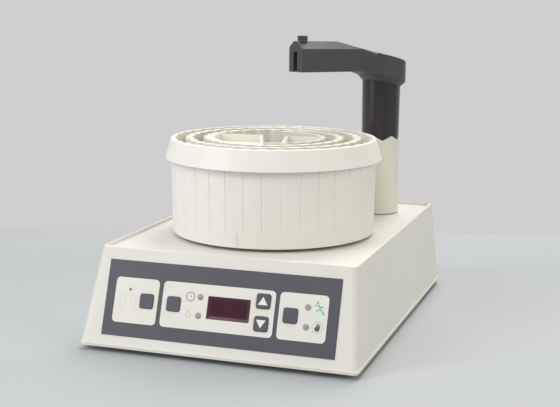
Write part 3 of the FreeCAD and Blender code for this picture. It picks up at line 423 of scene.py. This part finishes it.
def filled(outline):
    """A flat plate of ink from one closed outline."""
    flat = bmesh.new()
    corners = [flat.verts.new((x, s, -ink_height / 2)) for x, s in outline]
    sheet = flat.faces.new(corners)
    grown = bmesh.ops.extrude_face_region(flat, geom=[sheet])
    raised = [v for v in grown["geom"] if isinstance(v, bmesh.types.BMVert)]
    bmesh.ops.translate(flat, verts=raised, vec=(0, 0, ink_height))
    return finished_mesh("outline", flat)


def line(runs, width, closed=False):
    """Lines of ink of one width: a round bead along each run, pressed flat."""
    curve = bpy.data.curves.new("line", "CURVE")
    curve.dimensions = "3D"
    curve.bevel_depth = width / 2
    curve.bevel_resolution = 2
    curve.use_fill_caps = True
    for run in runs:
        spline = curve.splines.new("POLY")
        spline.points.add(len(run) - 1)
        for point, (x, s) in zip(spline.points, run):
            point.co = (x, s, 0, 1)
        spline.use_cyclic_u = closed
    bead = in_scene("line", curve)
    graph = bpy.context.evaluated_depsgraph_get()
    mesh = bpy.data.meshes.new_from_object(bead.evaluated_get(graph))
    bpy.data.objects.remove(bead)
    mesh.transform(Matrix.Diagonal((1, 1, ink_height / width, 1)))
    return mesh


print("ink is", ink_height, "mm thick")

# %% [markdown]
# White arrows mark the two keys that step the setting up and down. Each is a
# plain triangle, moved a little towards its tip.

# %% Arrows on the keys
arrow_width, arrow_height, towards_tip = 9.2, 7.4, 0.2
arrow_keys = {"key_up": ("up_key", (42.2, 56.4), 1), "key_down": ("down_key", (42.1, 36.0), -1)}
for key, (body, (x, s), turn) in arrow_keys.items():
    tip = (x, s + turn * (arrow_height / 2 + towards_tip))
    foot = s - turn * (arrow_height / 2 - towards_tip)
    triangle = [tip, (x - arrow_width / 2, foot), (x + arrow_width / 2, foot)]
    printed("arrow_" + key, filled(triangle), "white", body, key_face)
print("arrows", arrow_width, "x", arrow_height, "mm")

# %% [markdown]
# A clock stands for collecting by time and a drop for counting drops. Both
# are drawn with lines, and most of those are arcs, so one helper gives the
# points of a circle or an arc. Another moves the few points that are set out
# from a mark's own centre, which keeps them easy to read.

# %% Clock and drop
def circle(x, s, radius, steps=40, start=0.0, sweep=360.0):
    """Points on a circle, or on an arc with both its ends if it isn't whole."""
    count = steps if sweep == 360.0 else steps + 1
    angles = [math.radians(start + sweep * i / steps) for i in range(count)]
    return [(x + radius * math.cos(angle), s + radius * math.sin(angle)) for angle in angles]


def around(centre, points):
    """Points that are given from a mark's centre, in panel coordinates."""
    return [(centre[0] + x, centre[1] + s) for x, s in points]


clock = (-28.4, 54.3)
printed("mark_clock_rim", line([circle(*clock, 4.1)], 0.62, True), "slate")
ticks = [around(clock, [(r * math.cos(a), r * math.sin(a)) for r in (2.7, 3.3)])
         for a in (math.pi / 2 * k for k in range(4))]
hands = [around(clock, [(0, 0), end]) for end in ((0, 2.2), (1.5, 0))]
printed("mark_clock_hands", line(ticks + hands, 0.45), "slate")
drop = (-28.8, 37.2)
drop_tip = around(drop, [(0.6, 3.6), (0, 5.2), (-0.6, 3.6)])
printed("mark_drop", line([circle(*drop, 2.3, 24, 150.0, 240.0) + drop_tip], 0.42, True), "pale")
print("clock and drop at", clock, drop)

# %% [markdown]
# Two tube outlines with a drop between them stand for advancing the rack, and
# a short spout hangs above the second. The tubes end in half circles below.

# %% Tubes
def tube_outline(left, right, low, high):
    radius = (right - left) / 2
    rounded_end = circle(left + radius, low + radius, radius, 12, 180.0, 180.0)
    return rounded_end + [(right, high), (left, high)]


tubes = [tube_outline(-97.3, -92.6, 36.2, 50.6), tube_outline(-87.0, -82.6, 36.0, 50.2)]
printed("mark_tubes", line(tubes, 0.42, True), "faint")
printed("mark_falling_drop", filled(circle(-89.2, 55.7, 1.25, 20)), "slate")
spout = [[(-85.7, 59.2), (-85.7, 56.2)], [(-86.5, 55.4), (-84.9, 55.4)]]
printed("mark_spout", line(spout, 0.5), "faint")
print("points in the tubes' outlines", [len(tube) for tube in tubes])

# %% [markdown]
# A green striding figure stands for run, and an open hand in a ring for
# pause. Both are plain pictograms of a few thick strokes: a disc tops the
# figure, and a flat palm carries the hand's fingers.

# %% Run and pause marks
runner = (94.8, 55.2)
strides = [around(runner, [(-1.0, 2.6), (0.6, -0.8), (2.6, -2.6), (4.6, -5.6)]),
           around(runner, [(0.6, -0.8), (-1.6, -2.8), (-3.0, -2.4)]),
           around(runner, [(-4.4, 1.8), (-1.0, 2.4), (1.4, 0.6), (3.4, 1.2)])]
printed("mark_run", line(strides, 1.25), "green")
printed("mark_run_top", filled(circle(runner[0] - 2.2, runner[1] + 4.6, 1.2, 20)), "green")
hand = (94.5, 37.9)
printed("mark_pause_ring", line([circle(*hand, 5.0)], 0.5, True), "pale")
palm = [(-1.6, -3.4), (1.5, -3.4), (2.3, -1.0), (2.3, 0.6), (-1.2, 0.6), (-2.9, -0.6)]
finger_tips = ((-0.9, 2.6), (0.1, 3.5), (1.1, 3.2), (2.0, 2.2))
fingers = [around(hand, [(x, 0), (x * 1.05, top)]) for x, top in finger_tips]
printed("mark_pause_palm", filled(around(hand, palm)), "slate")
printed("mark_pause_fingers", line(fingers, 0.8), "slate")

# %% [markdown]
# Each of the four indicator lamps looks out through a hole with a thin pale
# ring printed round it.

# %% Rings round the lamps
ring_radius, ring_width = 2.85, 0.4
for k, (x, s) in enumerate(((-18.6, 54.7), (-18.7, 37.6), (84.3, 54.9), (84.2, 37.4))):
    printed("lamp_rim_" + str(k), line([circle(x, s, ring_radius, 28)], ring_width, True), "pale")
print("rings", 2 * ring_radius + ring_width, "mm across")

# %% [markdown]
# The machine stands on a pale table whose back edge crosses the picture just
# below the middle. Behind it is only the studio's pale grey air. The edge lies
# square to the way the camera looks, so the table is turned by its heading.
# The top is a hair below the feet, so that the two never share a plane.

# %% Table
heading = math.radians(18.618)
eye = Vector((0.36604, -1.08522, 0.32395))
ahead = Vector((-math.sin(heading), math.cos(heading), 0))
aside = Vector((math.cos(heading), math.sin(heading), 0))
edge_distance, half_table, hair = 1.559, 2.5, 0.0002
top = bmesh.new()
bmesh.ops.create_grid(top, x_segments=2, y_segments=2, size=half_table)
turn = Matrix((aside, ahead, Vector((0, 0, 1)))).transposed().to_4x4()
turn.translation = Vector((eye.x, eye.y, -hair)) + ahead * (edge_distance - half_table)
bmesh.ops.transform(top, matrix=turn, verts=top.verts)
table = in_scene("table", finished_mesh("table", top))
look = Finish("table_top")
clouds = look.between(look.noise(3.0), 0.3, 0.7)
look.colour(look.mix(clouds, tone(179, 182, 185), tone(176, 180, 182))).set(Roughness=0.6)
table.data.materials.append(look.material)
print("the table ends", edge_distance, "m ahead of the eye")

# %% [markdown]
# Soft light from everywhere keeps the shadows pale. What the camera sees
# behind the table, and what gloss and glass mirror, is a wall's grey instead,
# so the light on the machine can be set without changing the background.

# %% Air
world = bpy.data.worlds.new("studio_air")
world.use_nodes = True
bpy.context.scene.world = world
nodes, links = world.node_tree.nodes, world.node_tree.links
nodes.clear()
ambient = nodes.new("ShaderNodeBackground")
ambient.inputs["Color"].default_value = (1.0, 1.0, 0.99, 1)
ambient.inputs["Strength"].default_value = 0.375
wall = nodes.new("ShaderNodeBackground")
wall.inputs["Color"].default_value = (*tone(208, 206, 208), 1)
wall.inputs["Strength"].default_value = 1.0
path = nodes.new("ShaderNodeLightPath")
seen = path.outputs["Is Camera Ray"]
for kind in ("Is Glossy Ray", "Is Transmission Ray"):
    either = nodes.new("ShaderNodeMath")
    either.operation = "MAXIMUM"
    links.new(seen, either.inputs[0])
    links.new(path.outputs[kind], either.inputs[1])
    seen = either.outputs[0]
mix = nodes.new("ShaderNodeMixShader")
links.new(seen, mix.inputs[0])
links.new(ambient.outputs[0], mix.inputs[1])
links.new(wall.outputs[0], mix.inputs[2])
out = nodes.new("ShaderNodeOutputWorld")
links.new(mix.outputs[0], out.inputs["Surface"])
print("soft light of strength", ambient.inputs["Strength"].default_value)

# %% [markdown]
# At the left front a broad lamp shapes the round rack, and a tall one, like a
# window, draws the long highlight on the sleeve. One overhead and one high at
# the back give the rack the shadow under its front edge. One at the front and
# a warm one at the right lift the shaded sides. Sizes are in metres, powers
# in watts, and every lamp is aimed at the middle of the machine.

# %% Lamps
middle = (0.0, -0.02, 0.12)


def softbox(name, place, size, power, colour, tall=None):
    """A round lamp, or one as wide as its size and as tall as tall says."""
    light = bpy.data.lights.new(name, "AREA")
    light.shape = "RECTANGLE" if tall else "DISK"
    light.size = size
    light.size_y = tall or size
    light.energy = power
    light.color = colour
    lamp = in_scene(name, light)
    lamp.location = place
    lamp.rotation_euler = (Vector(middle) - Vector(place)).to_track_quat("-Z", "Y").to_euler()


softbox("left_softbox", (-1.45, -1.45, 1.9), 1.4, 16.5, (1.0, 1.0, 0.97))
softbox("window", (-1.5, -1.5, 1.0), 0.7, 14.5, (0.96, 0.94, 1.0), tall=1.95)
softbox("overhead", (0.0, 0.1, 1.9), 1.0, 4.4, (0.98, 1.0, 0.96))
softbox("back_softbox", (0.1, 0.9, 1.7), 1.0, 20.0, (1.0, 0.985, 0.96))
softbox("front_softbox", (0.4, -1.7, 1.9), 1.0, 8.6, (1.0, 0.97, 1.0))
softbox("right_softbox", (1.8, -0.4, 1.1), 1.2, 10.0, (1.0, 1.0, 0.84))
print("lamps", [light.name for light in bpy.data.lights])

# %% [markdown]
# The camera stands about a metre in front of the machine and to its right,
# and looks a little down on it with a long lens, which keeps upright edges
# nearly parallel. It is turned three times: to its heading, down from the
# level, and a touch round its own axis. The last two angles are in degrees.

# %% Camera
camera_data = bpy.data.cameras.new("eye")
camera_data.lens = 72.095
camera_data.sensor_width = 36.0
look_down, roll = 10.289, 0.445
camera = in_scene("eye", camera_data)
place = (Matrix.Rotation(heading, 4, "Z") @ Matrix.Rotation(math.radians(90 - look_down), 4, "X")
         @ Matrix.Rotation(math.radians(roll), 4, "Z"))
place.translation = eye
camera.matrix_world = place
bpy.context.scene.camera = camera
bpy.context.scene.view_settings.view_transform = "Standard"
print("camera at", [round(v, 3) for v in eye])
